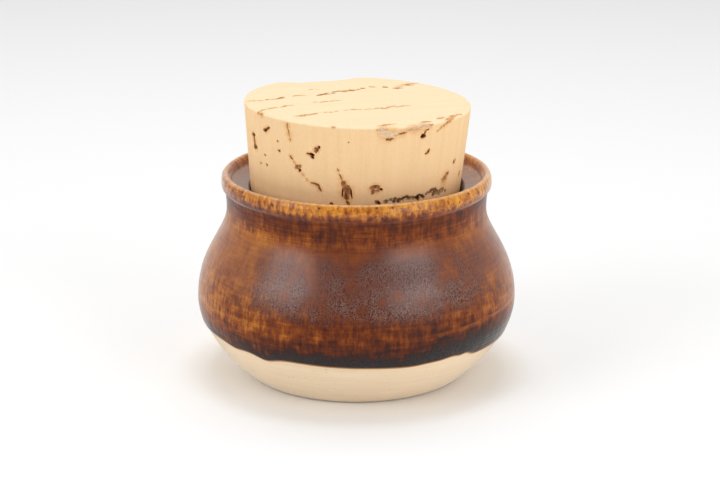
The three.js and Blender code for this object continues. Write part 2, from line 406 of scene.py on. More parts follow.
class Recipe:
    """A material or world whose nodes are added one after the other."""

    def __init__(self, made_for):
        self.made_for = made_for
        made_for.use_nodes = True
        self.tree = made_for.node_tree
        self.tree.nodes.clear()

    def node(self, kind, settings=None, inputs=None, output=0):
        """Adds one node: its settings first, a ramp's stops with them, then its sockets."""
        made = self.tree.nodes.new("ShaderNode" + kind)
        for name, value in (settings or {}).items():
            if name == "stops":
                self.set_stops(made.color_ramp, value)
            else:
                setattr(made, name, value)
        for key, value in (inputs or {}).items():
            socket = made.inputs[key]
            if isinstance(value, Value):
                self.tree.links.new(value.socket, socket)
            elif socket.type == "RGBA":
                socket.default_value = (*value, 1)
            else:
                socket.default_value = value
        return Value(self, made.outputs[output]) if made.outputs else made

    @staticmethod
    def set_stops(ramp, stops):
        while len(ramp.elements) < len(stops):
            ramp.elements.new(1)
        for element, (position, colour) in zip(ramp.elements, stops):
            element.position = position
            element.color = (*colour, 1)

    def ramp(self, factor, stops):
        return self.node("ValToRGB", {"stops": stops}, {0: factor})

    def curve(self, factor, heights):
        """A smooth run of plain numbers, each at its place from 0 to 1."""
        stops = [(place, (number,) * 3) for place, number in heights]
        ramp = self.node("ValToRGB", {"stops": stops}, {0: factor})
        ramp.socket.node.color_ramp.interpolation = "EASE"
        return ramp

    def blend(self, factor, under, over, how="MIX"):
        settings = {"data_type": "RGBA", "blend_type": how, "clamp_result": how != "MIX"}
        return self.node("Mix", settings, {0: factor, 6: under, 7: over}, output=2)

    def vector(self, operation, *terms, output=0):
        inputs = dict(enumerate(terms))
        return self.node("VectorMath", {"operation": operation}, inputs, output)

    def combine(self, x, y, z):
        return self.node("CombineXYZ", None, {0: x, 1: y, 2: z})

    def separate(self, vector):
        return [self.node("SeparateXYZ", None, {0: vector}, axis) for axis in range(3)]

    def noise(self, place, scale, detail=2.0, rough=0.5):
        inputs = {"Vector": place, "Scale": scale, "Detail": detail, "Roughness": rough}
        return self.node("TexNoise", None, inputs)

    def spots(self, place, scale, size, share):
        """Scattered round spots, 1 in the middle, on about that share of the pattern's cells."""
        inputs = {"Vector": place, "Scale": scale}
        away = self.node("TexVoronoi", None, inputs)
        cell = self.node("TexVoronoi", None, inputs, output=1)
        pick = self.separate(cell)[0].rise(1 - share, 1 - share + 0.02)
        return away.rise(size, size * 0.4) * pick

    def millimetres(self, place):
        """A place in metres turned into millimetres."""
        scaled = self.vector("SCALE", place)
        scaled.socket.node.inputs["Scale"].default_value = 1 / MM
        return scaled

    def mark(self, name):
        """The number of that name that each point of the piece was given."""
        return self.node("Attribute", {"attribute_name": name}, output=2)

    def bump(self, height):
        """Relief from a height in millimetres."""
        return self.node("Bump", None, {"Strength": 1.0, "Distance": MM, "Height": height})

    def finish(self, inputs):
        shader = self.node("BsdfPrincipled", None, inputs)
        self.node("OutputMaterial", None, {0: shader})
        return self.made_for


def lobe(recipe, outward, azimuth, half_width):
    """1 on one side of the jar, fading to 0 half_width degrees away."""
    side = (math.cos(math.radians(azimuth)), math.sin(math.radians(azimuth)), 0)
    toward = recipe.vector("DOT_PRODUCT", outward, side, output=1)
    return toward.rise(math.cos(math.radians(half_width)), 1)


# Colours within the glaze
AMBER_BROWN = (0.49, 0.168, 0.021)
RED_BROWN = (0.125, 0.026, 0.007)
DARK_BROWN = (0.042, 0.014, 0.010)
RIDGE = (0.46, 0.15, 0.035)
WINE = (0.095, 0.018, 0.011)
DEEP_RED = (0.080, 0.009, 0.005)
ROLL_FLECK = (0.145, 0.12, 0.102)
IRON_SPECK = (0.055, 0.012, 0.010)
HEM = (0.50, 0.23, 0.08)
# Pale thin glaze on the lip's crest, partly a painted highlight
PALE_CREST_PAINTED_HIGHLIGHT = (0.92, 0.58, 0.26)
# Painted reflection of the white room on the slope inside the lip
PAINTED_REFLECTION_INSIDE_LIP = (0.50, 0.39, 0.33)
# How thick the glaze lies up the wall, as the height's share of the jar's and a thickness
GLAZE_UP_THE_WALL = (
    (0.0, 0.72),
    (0.30, 0.66),
    (0.40, 0.575),
    (0.55, 0.60),
    (0.70, 0.60),
    (0.78, 0.55),
    (0.84, 0.60),
    (0.90, 0.64),
    (0.93, 0.52),
    (0.96, 0.27),
    (1.0, 0.17),
)
# The pale fringe along the jar's outline
SHEEN_TINT = (1.0, 0.92, 0.85)
# Colours on the bare clay
CLAY_DOT = (0.34, 0.17, 0.07)
# Painted shade along the foot, where the clay meets the floor
PAINTED_FOOT_SHADE = (0.22, 0.13, 0.07)

# Colours within the cork
STREAK_SHADE = (0.88, 0.80, 0.70)
WARM_STAIN = (0.78, 0.40, 0.14)
BARK_GREY = (0.46, 0.36, 0.28)
BARK_BLACK = (0.045, 0.020, 0.010)
TOP_PORE = (0.84, 0.44, 0.17)
CHIP_PALE = (0.88, 0.66, 0.44)
CHIP_TAN = (0.86, 0.52, 0.24)
# The colour inside a pore, from its brim to its depth: orange at the brim, then darker with
# depth as painted shade
PORE_PAINTED_SHADE = (
    (0.0, (0.80, 0.50, 0.24)),
    (0.12, (0.58, 0.31, 0.13)),
    (0.28, (0.42, 0.175, 0.058)),
    (0.48, (0.17, 0.052, 0.015)),
    (0.75, (0.055, 0.017, 0.006)),
)
YEAR_LINES_TURN = math.radians(29)  # how the tree's yearly lines run across the top

# Which way the white wall lies, and between what turns from it the room dims
WALL_TOWARD = (0, 0.94, 0.34)
WALL_FADES = (-0.75, 0.45)


# Materials

def glazed_clay(colours):
    """Runny iron glaze, amber where thin and black where thick, over bare buff clay."""
    r = Recipe(bpy.data.materials.new("iron glaze on buff clay"))
    place = r.millimetres(r.node("TexCoord", output=3))
    x, y, z = r.separate(place)
    outward = r.vector("NORMALIZE", r.combine(x, y, 0.0))
    ring_x, ring_y, _ = r.separate(outward)
    above = r.mark("above_edge")

    def wall(upward, around=1.0):
        """Places on the wall, with a pattern's marks drawn out upward where that is under 1."""
        return r.combine(ring_x * BELLY_R * around, ring_y * BELLY_R * around, z * upward)

    # Patterns that run down the wall, ring it, or lie in patches
    strokes = r.noise(wall(0.28), 1.25, 2.0, 0.5)
    hairs = r.noise(wall(0.22), 2.8, 2.0, 0.6)
    smears = r.noise(wall(1.0, 0.25), 0.8, 2.5, 0.55)
    bars = r.noise(wall(0.12), 0.85, 1.5, 0.5)
    rings = r.noise(wall(1.0, 0.04), 1.6, 3.0, 0.6)
    threads = r.noise(wall(1.0, 0.06), 2.8, 1.5, 0.5)
    patches = r.noise(wall(1.4), 0.13, 2.0, 0.5)
    smudges = r.noise(wall(0.75), 0.42, 3.0, 0.6)
    blots = r.noise(wall(0.65), 0.62, 2.0, 0.5).rise(0.56, 0.72)
    mottle = r.noise(place, 1.6, 3.0, 0.6)
    grain = r.noise(wall(0.75), 3.3, 2.5, 0.6)
    lip_strokes = r.noise(wall(0.55), 0.75, 2.5, 0.6)

    left = lobe(r, outward, -172, 75)
    right = lobe(r, outward, -10, 66)
    behind = lobe(r, outward, 85, 60)
    front = lobe(r, outward, -75, 70)

    # How thick and dark the glaze is: 0 amber, 1 black
    body = r.curve(z / RIM_Z, GLAZE_UP_THE_WALL)
    sides_thin = left * 0.22 + behind * 0.14 + right * 0.14
    lively = z.rise(31, 22) * (left * 0.4 + 0.8)
    neck = z.band(37.5, 42, 1.5)
    lip = z.rise(42.2, 43.4)
    thick = body - sides_thin * z.rise(42, 36) * z.rise(14, 20)
    thick = thick + (strokes - 0.5) * (0.10 + lively * 0.34 + neck * 0.2)
    thick = thick + (hairs - 0.5) * (0.12 + lively * 0.16)
    thick = thick + (smudges - 0.5) * (0.22 + lively * 0.2 + neck * 0.25)
    thick = thick + (smears - 0.5) * (0.12 + lively * 0.38)
    thick = thick + blots * (lively * 0.12 + neck * 0.12)
    thick = thick + (bars - 0.5) * neck * 0.28 + (threads - 0.5) * (0.08 + neck * 0.24)
    thick = thick + (rings - 0.5) * z.rise(43, 41) * 0.18 + (patches - 0.5) * 0.24
    thick = thick + (lip_strokes - 0.5) * lip * 1.1 + (mottle - 0.5) * lip * 0.6
    thick = thick + lip * (left * 0.15 - right * 0.03)

    # The glaze gathers in a dark roll along its edge, tall and black on the low side
    roll = 1.2 + right * 5.4 + front * 5.2 + behind * 2.0
    roll = roll + (strokes - 0.5) * 5 + (smears - 0.5) * 2
    gathered = above.rise(roll + 2.0, roll * 0.15)
    blackest = above.rise(roll * 0.55, 0.0) * (0.25 + front * 0.85).least(1)
    thick = thick + gathered * (0.20 + right * 0.08) + blackest * 0.31
    glaze = r.ramp(
        thick,
        (
            (0.0, colours.thin_glaze),
            (0.25, AMBER_BROWN),
            (0.45, colours.glaze),
            (0.62, RED_BROWN),
            (0.80, DARK_BROWN),
            (1.0, colours.thick_glaze),
        ),
    )
    # A line where the glaze thins over a ridge low on the right
    ridge = (z - ring_x * 2.4 - 16.9 + (smears - 0.5) * 0.8).band(-0.15, 0.15, 0.5) * right
    glaze = r.blend(ridge * smears.rise(0.35, 0.6) * 0.6, glaze, RIDGE)

    # Fine grey crystals, curled and crowded, with deep red between them
    facing = lobe(r, outward, -85, 66)
    crystal_zone = (z.band(25.0, 31.5, 4.5) * (facing * 1.15 + behind * 0.4)).least(1)
    crowd = smudges * 0.7 + patches * 1.3 - 0.5
    crowded = crowd.rise(0.2, 0.68) * crystal_zone
    curls = (grain - 0.53).size().rise(0.07, 0.015)
    glaze = r.blend(crystal_zone * crowd.rise(0.0, 0.6) * 0.5, glaze, WINE)
    red = grain.rise(0.56, 0.44) * crowded
    glaze = r.blend(red * 0.85, glaze, DEEP_RED)
    pale_curls = curls * crowded * (0.5 + z.rise(32, 26) * 0.25)
    glaze = r.blend(pale_curls, glaze, colours.crystals)
    # Grey flecks in the dark roll
    flecks = curls * above.rise(roll * 0.8, 0.5) * (0.15 + front * 0.15 + right * 0.5)
    glaze = r.blend(flecks * 0.7, glaze, ROLL_FLECK)
    # Dark iron specks, most on the lip, and a pale orange line where the glaze ends
    specks = r.spots(place, 0.9, 0.38, 0.2) * (0.25 + lip * 0.6)
    glaze = r.blend(specks, glaze, IRON_SPECK)
    glaze = r.blend(above.rise(0.55, 0.25) * 0.9, glaze, HEM)

    # Thin and pale on the lip's crest, partly a painted highlight along it; grey-mauve on the
    # slope inside it, a painted reflection of the white room
    crest = z.rise(45.9, 46.35)
    glaze = r.blend(crest * mottle.rise(0.35, 0.6) * 0.5, glaze, PALE_CREST_PAINTED_HIGHLIGHT)
    # Painted reflection: the slope inside the lip is paled toward grey-mauve
    radius = r.vector("LENGTH", r.combine(x, y, 0.0), output=1)
    within = radius.rise(28.7, 27.9) * lip
    glaze = r.blend(within * 0.6, glaze, PAINTED_REFLECTION_INSIDE_LIP)

    # Bare clay
    clay_tone = r.noise(wall(1.0, 0.05), 1.4, 4.0, 0.7)
    clay = r.blend(clay_tone.rise(0.3, 0.7), colours.clay, colours.clay_shade)
    dots = r.spots(place, 1.1, 0.20, 0.14) + r.spots(place, 2.3, 0.3, 0.2) * 0.4
    clay = r.blend(dots * 0.6, clay, CLAY_DOT)
    # Painted shade: the clay darkens over its lowest 0.6 mm, where it meets the floor
    clay = r.blend(z.rise(0.6, 0.0) * 0.45, clay, PAINTED_FOOT_SHADE)

    ragged = above + (r.noise(place, 1.6, 2.0) - 0.5) * 0.25
    is_glaze = ragged.rise(-0.06, 0.06)
    colour = r.blend(is_glaze, clay, glaze)

    clay_relief = (clay_tone - 0.5) * 0.04 + (r.noise(place, 5.0, 3.0) - 0.5) * 0.07
    glaze_relief = (grain - 0.5) * (0.02 + z.band(20, 37, 4) * 0.07) + (rings - 0.5) * 0.10
    glaze_relief = glaze_relief + (smudges - 0.5) * 0.14
    glaze_relief = glaze_relief - r.spots(place, 0.35, 0.1, 0.2) * 0.06
    relief = glaze_relief * is_glaze + clay_relief * (1 - is_glaze)
    # The glassy coat is thick on the belly's upper half and the lip, thinner toward the sides
    glass = z.rise(21, 29) * z.rise(38.5, 33.5) * (1 - (left + right) * 0.5)
    glass = glass + behind * 0.6 + z.rise(41.8, 42.6) * 0.45 + crest * 0.4
    return r.finish(
        {
            "Base Color": colour,
            "Roughness": (0.35 - lip * 0.15) * is_glaze + 0.85 * (1 - is_glaze),
            "Specular IOR Level": 0.12,
            "Coat Weight": glass.least(1) * is_glaze,
            "Coat Roughness": 0.28,
            "Sheen Weight": 0.9,
            "Sheen Roughness": 0.26,
            "Sheen Tint": SHEEN_TINT,
            "Normal": r.bump(relief),
        }
    )


def sanded_cork(cork):
    """Sanded natural cork, orange at the brim of its pores and darkened with depth in them as
    painted shade.
    """
    r = Recipe(bpy.data.materials.new("sanded cork"))
    lean = (0.0, cork.lean, 0.0)
    local = r.node(
        "Mapping",
        {"vector_type": "TEXTURE"},
        {0: r.node("TexCoord", output=3), 1: tuple(CORK_PLACE * MM), 2: lean},
    )
    place = r.millimetres(local)
    x, y, z = r.separate(place)
    on_top = r.mark("on_top")
    outward = r.vector("NORMALIZE", r.combine(x, y, 0.0))
    ring_x, ring_y, _ = r.separate(outward)
    top_r = cork.top_radius / MM
    round_x, round_y = ring_x * top_r, ring_y * top_r

    # Streaks down the side, the tree's yearly lines across the top, and fine crumbs all over
    upright = r.noise(r.combine(round_x, round_y, z * 0.06), 0.4, 4.0, 0.6)
    fine = r.noise(place, 2.4, 4.0, 0.65)
    cos_turn, sin_turn = math.cos(YEAR_LINES_TURN), math.sin(YEAR_LINES_TURN)
    along = x * cos_turn + y * sin_turn
    across = y * cos_turn - x * sin_turn
    year_lines = r.noise(r.combine(along * 0.12, across, z * 0.2), 0.35, 4.0, 0.6)
    streaks = upright * 0.6 + (year_lines * 0.35 - upright * 0.6) * on_top
    tone = streaks + (fine - 0.5) * 0.5 + 0.2 + on_top * 0.12
    pale = r.blend(on_top, cork.colour, cork.top_colour)
    skin = r.blend(tone.rise(0.25, 1.0), pale, r.blend(1.0, pale, STREAK_SHADE, "MULTIPLY"))
    warm = (r.mark("stain") + (fine - 0.5) * 0.9).rise(0.15, 0.95)
    skin = r.blend(warm * 0.75, skin, WARM_STAIN)
    bark = r.mark("bark")
    rough = r.noise(r.combine(round_x, round_y, z * 1.2), 0.75, 4.0, 0.75)
    cracked = (rough - 0.5).size().rise(0.075, 0.02) + (rough - 0.62).rise(0.0, 0.08)
    grey = (bark + (rough - 0.5) * 1.2).rise(0.35, 0.8) * 0.5
    black = (cracked * bark.rise(0.25, 0.75)).least(1)
    skin = r.blend(grey, skin, BARK_GREY)
    skin = r.blend(black * 0.85, skin, BARK_BLACK)

    deep = r.mark("pit")
    # Painted shade: pores are coloured darker the deeper they go
    inside = r.ramp((deep + (fine - 0.5) * 0.5) / 2, PORE_PAINTED_SHADE)
    inside = r.blend(on_top * 0.6, inside, TOP_PORE)
    broken = r.blend((fine - 0.5).rise(0.0, 0.12), CHIP_PALE, CHIP_TAN)
    inside = r.blend(r.mark("chip"), inside, broken)
    colour = r.blend(deep.rise(0.02, 0.12), skin, inside)
    relief = (fine - 0.5) * 0.05 + deep.rise(0.1, 0.3) * (fine - 0.5) * 0.4 - black * 0.25
    return r.finish(
        {
            "Base Color": colour,
            "Roughness": 0.8,
            "Specular IOR Level": 0.3,
            "Normal": r.bump(relief),
        }
    )


def white_room(stage):
    """A white wall behind and above, and a dimmer room at the sides and behind the camera."""
    r = Recipe(bpy.data.worlds.new("white room"))
    heading = r.vector("NORMALIZE", r.node("TexCoord", output=0))
    wall = r.vector("DOT_PRODUCT", heading, WALL_TOWARD, output=1).rise(*WALL_FADES)
    strength = stage.surroundings * (1 - (1 - wall) * stage.dim_side)
    light = r.node("Background", None, {"Color": (1, 1, 1), "Strength": strength})
    r.node("OutputWorld", None, {0: light})
    return r.made_for


def pale_floor(stage):
    r = Recipe(bpy.data.materials.new("pale floor"))
    return r.finish(
        {"Base Color": stage.floor_colour, "Roughness": 0.9, "Specular IOR Level": 0.0}
    )


# Pores, cracks and chips in the cork, as crumbs to be cut out

# A crumb on the side: azimuth, how far below the top, width, height, turn in degrees, depth
LEFT_KNOTS = (
    (-155.6, 5.9, 1.9, 1.2, 0, 1.1),
    (-154.9, 7.2, 0.9, 2.6, 0, 0.8),
    (-154.0, 8.4, 1.9, 1.4, -10, 1.1),
    (-142.4, 3.6, 1.7, 0.9, 20, 1.1),
    (-140.0, 2.9, 1.4, 0.7, 30, 0.8),
)
LEFT_CRACK = (
    (-126.4, 1.4, 0.55, 1.9, 6, 0.22),
    (-125.6, 2.9, 0.45, 2.2, 8, 0.2),
    (-124.9, 4.2, 0.35, 1.2, 8, 0.17),
)
LEFT_DOTS = (
    (-133.2, 5.2, 0.7, 0.4, -30, 0.3),
    (-132.4, 7.3, 0.8, 0.6, 0, 0.5),
    (-144.0, 9.3, 0.8, 0.4, 0, 0.35),
    (-148.8, 11.6, 0.7, 0.4, 0, 0.3),
    (-142.8, 11.4, 0.5, 0.9, 15, 0.35),
    (-94.2, 3.3, 0.4, 0.35, 0, 0.25),
)
STAR = (
    (-120.9, 10.0, 1.5, 1.1, 0, 0.45),
    (-119.7, 10.7, 0.8, 0.9, 20, 0.9),
    (-121.8, 10.3, 0.8, 0.5, 20, 0.4),
    (-119.4, 9.7, 0.5, 0.9, -25, 0.4),
)
STAR_CRACK = (
    (-124.6, 8.2, 0.4, 1.6, 42, 0.45),
    (-122.7, 9.2, 0.2, 1.2, 45, 0.15),
    (-117.9, 11.6, 0.2, 1.4, 45, 0.12),
    (-115.6, 12.6, 0.2, 1.3, 50, 0.12),
)
DARK_PAIR = (
    (-112.8, 6.8, 1.3, 1.0, 0, 1.4),
    (-114.7, 6.7, 1.1, 0.5, -8, 0.8),
    (-112.4, 7.4, 0.9, 0.6, 0, 1.0),
    (-110.4, 5.6, 1.2, 1.5, -15, 0.5),
    (-109.0, 5.0, 0.7, 1.0, -30, 0.6),
)
BENT_CRACK = (
    (-112.4, 13.2, 1.5, 0.45, -5, 0.35),
    (-110.2, 13.4, 1.5, 0.7, -25, 0.5),
    (-108.6, 14.3, 0.6, 1.7, 28, 0.45),
)
LEAF_PIT = (
    (-99.0, 9.7, 0.4, 1.0, 35, 0.25),
    (-97.6, 11.2, 0.4, 1.8, 28, 0.3),
    (-96.2, 12.7, 1.3, 2.2, 20, 0.55),
    (-94.4, 14.1, 2.1, 2.6, 8, 0.6),
    (-94.6, 15.6, 1.5, 2.6, 8, 0.55),
    (-96.8, 14.7, 0.35, 2.6, -4, 0.95),
    (-92.2, 14.9, 0.4, 2.4, 12, 0.9),
    (-93.8, 17.0, 0.8, 1.4, 30, 0.45),
)
EYEBROW_PIT = (
    (-81.7, 13.4, 1.4, 1.0, 30, 0.5),
    (-79.8, 13.2, 2.0, 1.0, 0, 0.6),
    (-77.9, 13.7, 1.4, 0.6, -12, 0.5),
    (-76.7, 13.9, 0.7, 0.6, 0, 1.0),
    (-81.2, 14.3, 0.9, 1.5, -20, 0.45),
    (-79.4, 14.2, 1.5, 0.9, 0, 0.35),
)
RIGHT_KNOTS = (
    (-55.8, 2.5, 1.4, 1.1, 20, 1.6),
    (-54.9, 1.7, 0.45, 1.3, -15, 1.2),
    (-53.4, 1.2, 1.0, 0.35, 10, 0.6),
    (-51.8, 6.2, 0.6, 1.6, -30, 0.8),
    (-53.2, 6.6, 0.6, 0.4, 0, 0.35),
    (-28.5, 10.2, 1.4, 1.0, 20, 0.45),
    (-37.0, 13.7, 2.6, 1.6, 0, 0.3),
    (-35.6, 12.7, 2.4, 1.0, 25, 0.5),
    (-18.3, 14.0, 0.9, 1.5, 0, 0.4),
    (-102.5, 17.4, 0.9, 0.8, 0, 0.6),
)
BACK_PORES = (
    (15, 8.5, 1.5, 1.2, 0, 1.0),
    (17, 9.2, 0.8, 0.9, 20, 0.9),
    (48, 12.5, 2.2, 1.2, 20, 1.0),
    (51, 12.0, 1.2, 0.7, 35, 0.8),
    (62, 3.0, 0.5, 0.5, 0, 0.5),
    (76, 4.5, 1.2, 1.9, 0, 1.0),
    (88, 13.0, 0.5, 1.3, 15, 0.6),
    (104, 10.5, 1.4, 3.2, -15, 1.0),
    (105.5, 8.6, 0.6, 1.6, -20, 0.7),
    (126, 3.5, 0.5, 0.6, 0, 0.5),
    (141, 6.0, 1.8, 1.1, 0, 1.0),
    (143, 6.6, 0.9, 0.8, 10, 1.1),
    (168, 12.0, 1.1, 2.3, 10, 1.0),
    (178, 4.0, 0.5, 0.5, 0, 0.5),
)
# The broken top edge at the front right, in shallow pale facets, and small nicks along the edge
BROKEN_EDGE = (
    (-76.4, 1.3, 3.2, 1.8, 0, 0.35),
    (-73.0, 1.5, 3.2, 1.4, -4, 0.35),
    (-78.0, 0.5, 2.6, 0.8, 0, 0.4),
    (-64.5, 0.8, 2.2, 0.5, 0, 0.35),
    (-60.8, 0.6, 3.2, 1.0, 4, 0.5),
    (-56.0, 0.4, 3.0, 0.9, 4, 0.5),
    (-52.5, 0.3, 2.0, 0.6, 0, 0.4),
)
EDGE_NICKS = (
    (-74.2, 2.6, 1.9, 0.6, 4, 0.7),
    (-67.6, 1.4, 2.3, 0.55, 8, 0.4),
    (-101.6, 0.15, 1.0, 0.5, 0, 0.25),
    (-145.5, 0.3, 1.3, 1.1, 0, 0.3),
    (-148.5, 0.2, 1.0, 0.8, 0, 0.25),
    (-46.6, 1.8, 1.0, 0.3, 30, 0.2),
    (-44.6, 1.3, 1.3, 0.35, 35, 0.2),
    (-42.4, 0.9, 1.2, 0.5, 20, 0.25),
    (-40.2, 0.5, 1.3, 0.7, 30, 0.25),
    (-37.5, 0.2, 1.4, 0.8, 20, 0.3),
)
SIDE_CRUMBS = (
    LEFT_KNOTS + LEFT_CRACK + LEFT_DOTS + STAR + STAR_CRACK + DARK_PAIR + BENT_CRACK
    + LEAF_PIT + EYEBROW_PIT + RIGHT_KNOTS + BACK_PORES + BROKEN_EDGE + EDGE_NICKS
)

# Cracks across the top: places on the face, width, depth and the share that is left whole
TOP_CRACKS = (
    (((-24.4, -3.6), (-21.0, -1.8)), 0.8, 0.4, 0.0),
    (((-21.0, -1.8), (-18.4, -0.2), (-16.6, 1.2)), 1.7, 0.6, 0.0),
    (((-14.3, 2.8), (-12.4, 4.0)), 1.5, 0.6, 0.0),
    (((-9.4, 5.6), (-2.6, 10.7)), 2.2, 0.8, 0.0),
    (((-2.6, 10.7), (2.4, 13.0)), 3.2, 0.6, 0.0),
    (((3.6, 13.6), (14.2, 18.8)), 2.4, 0.7, 0.15),
    (((-21.2, -13.4), (-19.8, -10.6), (-17.0, -8.4)), 0.7, 0.25, 0.1),
    (((-17.0, -8.4), (-13.6, -6.0)), 1.7, 0.35, 0.0),
    (((-9.6, -3.0), (-4.4, 0.2)), 0.9, 0.25, 0.0),
    (((-14.0, -16.6), (-12.2, -16.4), (-8.2, -13.6)), 2.6, 0.45, 0.0),
    (((-7.2, -12.6), (-1.6, -9.2)), 0.7, 0.25, 0.1),
    (((-1.0, -8.8), (5.0, -6.8)), 1.3, 0.3, 0.1),
    (((5.0, -6.6), (8.4, -4.6), (11.4, -2.8)), 1.5, 0.5, 0.0),
    (((-11.7, 9.5), (-7.9, 12.2)), 0.8, 0.2, 0.3),
    (((18.4, -15.2), (20.6, -12.6), (22.4, -9.8)), 2.2, 0.35, 0.0),
    (((4.0, -22.6), (8.0, -21.4)), 1.8, 0.3, 0.2),
    (((13.2, -18.8), (15.0, -18.2)), 1.4, 0.35, 0.0),
)
# Rough bark just above the lip at the front right
BARK = (
    (-78.8, 16.7, 0.9, 0.8, 0, 0.5),
    (-77.7, 16.9, 1.0, 0.6, -30, 0.7),
    (-74.0, 16.6, 1.6, 0.3, 10, 0.15),
    (-71.3, 16.2, 1.2, 0.35, 15, 0.4),
    (-69.0, 16.1, 1.0, 0.35, -15, 0.4),
    (-69.6, 16.7, 0.9, 0.4, 0, 0.8),
    (-67.1, 16.6, 0.8, 1.1, -25, 0.9),
    (-66.2, 16.3, 0.9, 0.5, 20, 0.7),
    (-64.6, 16.2, 1.6, 0.5, 20, 0.8),
    (-62.6, 16.0, 1.4, 0.5, 15, 0.9),
    (-61.0, 16.2, 1.2, 0.35, 10, 0.5),
    (-59.3, 16.3, 1.6, 0.35, 5, 0.5),
    (-57.4, 16.2, 1.2, 0.35, 5, 0.7),
    (-56.3, 16.3, 1.1, 0.7, 0, 1.4),
    (-55.6, 16.3, 0.9, 1.6, 0, 1.6),
    (-53.4, 16.1, 1.7, 0.5, -35, 1.2),
    (-52.0, 16.5, 0.9, 0.5, 0, 1.2),
    (-49.5, 15.9, 1.6, 0.3, 25, 0.35),
    (-46.8, 15.5, 1.9, 0.5, 20, 0.6),
    (-44.2, 15.4, 1.7, 0.5, 0, 0.5),
    (-44.8, 16.2, 0.9, 1.5, -20, 0.7),
    (-42.6, 15.9, 1.6, 0.8, 0, 0.3),
    (-40.2, 16.2, 1.8, 1.2, 0, 0.25),
    (-37.8, 15.9, 1.3, 1.0, 0, 0.25),
    (-34.6, 16.4, 0.9, 0.5, 0, 0.4),
)
BARK_SPREAD = 0.1  # how far round each crumb the bark is rough
# The ball-like crumbs that are copied: how many kinds, the size of their lumps, how uneven
CRUMB_KINDS = 4
CRUMB_LUMPS = 0.30
CRUMB_LUMPS_STEP = 0.05  # from one kind to the next
CRUMB_UNEVEN = 0.55
# Crumbs along a crack: how far apart and how long, and how wide, deep and far off its line, as
# shares of the crack's width and depth
CRUMB_EVERY = 1.25
CRUMB_LONG = (1.4, 3.2)
CRUMB_WIDE = (0.25, 0.8)
CRUMB_DEEP = (0.3, 0.9)
CRUMB_STRAY = 0.26
CRUMB_TURN = 0.22  # radians


def side_place(cork, azimuth, below):
    radius = cork.top_radius / MM - below * math.tan(cork.taper)
    a = math.radians(azimuth)
    return Vector((radius * math.cos(a), radius * math.sin(a), -below))


def side_crumb(cork, azimuth, below, wide, tall, turn, deep):
    """Where a crumb lies on the cork's side, as a matrix that shapes a crumb 1 mm across."""
    turned = Euler((math.radians(turn), 0, math.radians(azimuth)), "XYZ").to_matrix().to_4x4()
    shape = Matrix.Diagonal((2 * deep, wide, tall, 1))
    return Matrix.Translation(side_place(cork, azimuth, below)) @ turned @ shape


def crack_crumbs(path, wide, deep, gaps, rng):
    """Long crumbs end to end along a crack in the top, some left out."""
    crumbs = []
    for start, end in zip(path, path[1:]):
        a, b = Vector((*start, 0)), Vector((*end, 0))
        count = max(1, round((b - a).length / CRUMB_EVERY))
        heading = math.atan2(b.y - a.y, b.x - a.x)
        for i in range(count):
            if rng.random() < gaps:
                continue
            at = a.lerp(b, (i + rng.uniform(0.2, 0.8)) / count)
            sideways = Vector((-math.sin(heading), math.cos(heading), 0))
            at += sideways * rng.gauss(0, CRUMB_STRAY) * wide
            turned = Euler((0, 0, heading + rng.gauss(0, CRUMB_TURN))).to_matrix().to_4x4()
            long = rng.uniform(*CRUMB_LONG)
            across = wide * rng.uniform(*CRUMB_WIDE)
            down = 2 * deep * rng.uniform(*CRUMB_DEEP)
            shape = Matrix.Diagonal((long, across, down, 1))
            crumbs.append(Matrix.Translation(at) @ turned @ shape)
    return crumbs


def ragged_crumbs(count):
    """A few ball-like crumbs 1 mm across with an uneven skin, to be copied."""
    made = []
    for i in range(count):
        deselect()
        bpy.ops.mesh.primitive_ico_sphere_add(
            subdivisions=3, radius=0.5 * MM, location=(0, 0, 0)
        )
        crumb = bpy.context.object
        crumb.name = crumb.data.name = f"crumb_{i}"
        skin = bpy.data.textures.new(crumb.name, "CLOUDS")
        skin.noise_scale = (CRUMB_LUMPS + CRUMB_LUMPS_STEP * i) * MM
        skin.noise_depth = 1
        lift = crumb.modifiers.new("uneven", "DISPLACE")
        lift.texture = skin
        lift.texture_coords = "LOCAL"
        lift.mid_level = 0.5
        lift.strength = CRUMB_UNEVEN * MM
        apply_modifier(crumb, lift)
        made.append(crumb)
    return made


def cut_out(piece, places, seed):
    """Cuts a ragged crumb out of the piece at each place."""
    rng = random.Random(seed)
    masters = ragged_crumbs(CRUMB_KINDS)
    bag = bpy.data.collections.new("crumbs")
    bpy.context.scene.collection.children.link(bag)
    for i, place in enumerate(places):
        master = rng.choice(masters)
        crumb = bpy.data.objects.new(f"crumb_at_{i}", master.data.copy())
        flip = Euler([rng.choice((0, math.pi)) for _ in range(3)]).to_matrix().to_4x4()
        shift = Matrix.Scale(MM, 4) @ place @ flip @ Matrix.Scale(1 / MM, 4)
        crumb.data.transform(shift)
        bag.objects.link(crumb)
    for master in masters:
        bpy.data.objects.remove(master)
    cut = piece.modifiers.new("cut out", "BOOLEAN")
    cut.operation = "DIFFERENCE"
    cut.solver = "MANIFOLD"
    cut.operand_type = "COLLECTION"
    cut.collection = bag
    before = len(piece.data.polygons)
    apply_modifier(piece, cut)
    for crumb in list(bag.objects):
        bpy.data.objects.remove(crumb)
    bpy.data.collections.remove(bag)
    if len(piece.data.polygons) <= before:
        raise RuntimeError("nothing was cut out of the cork")


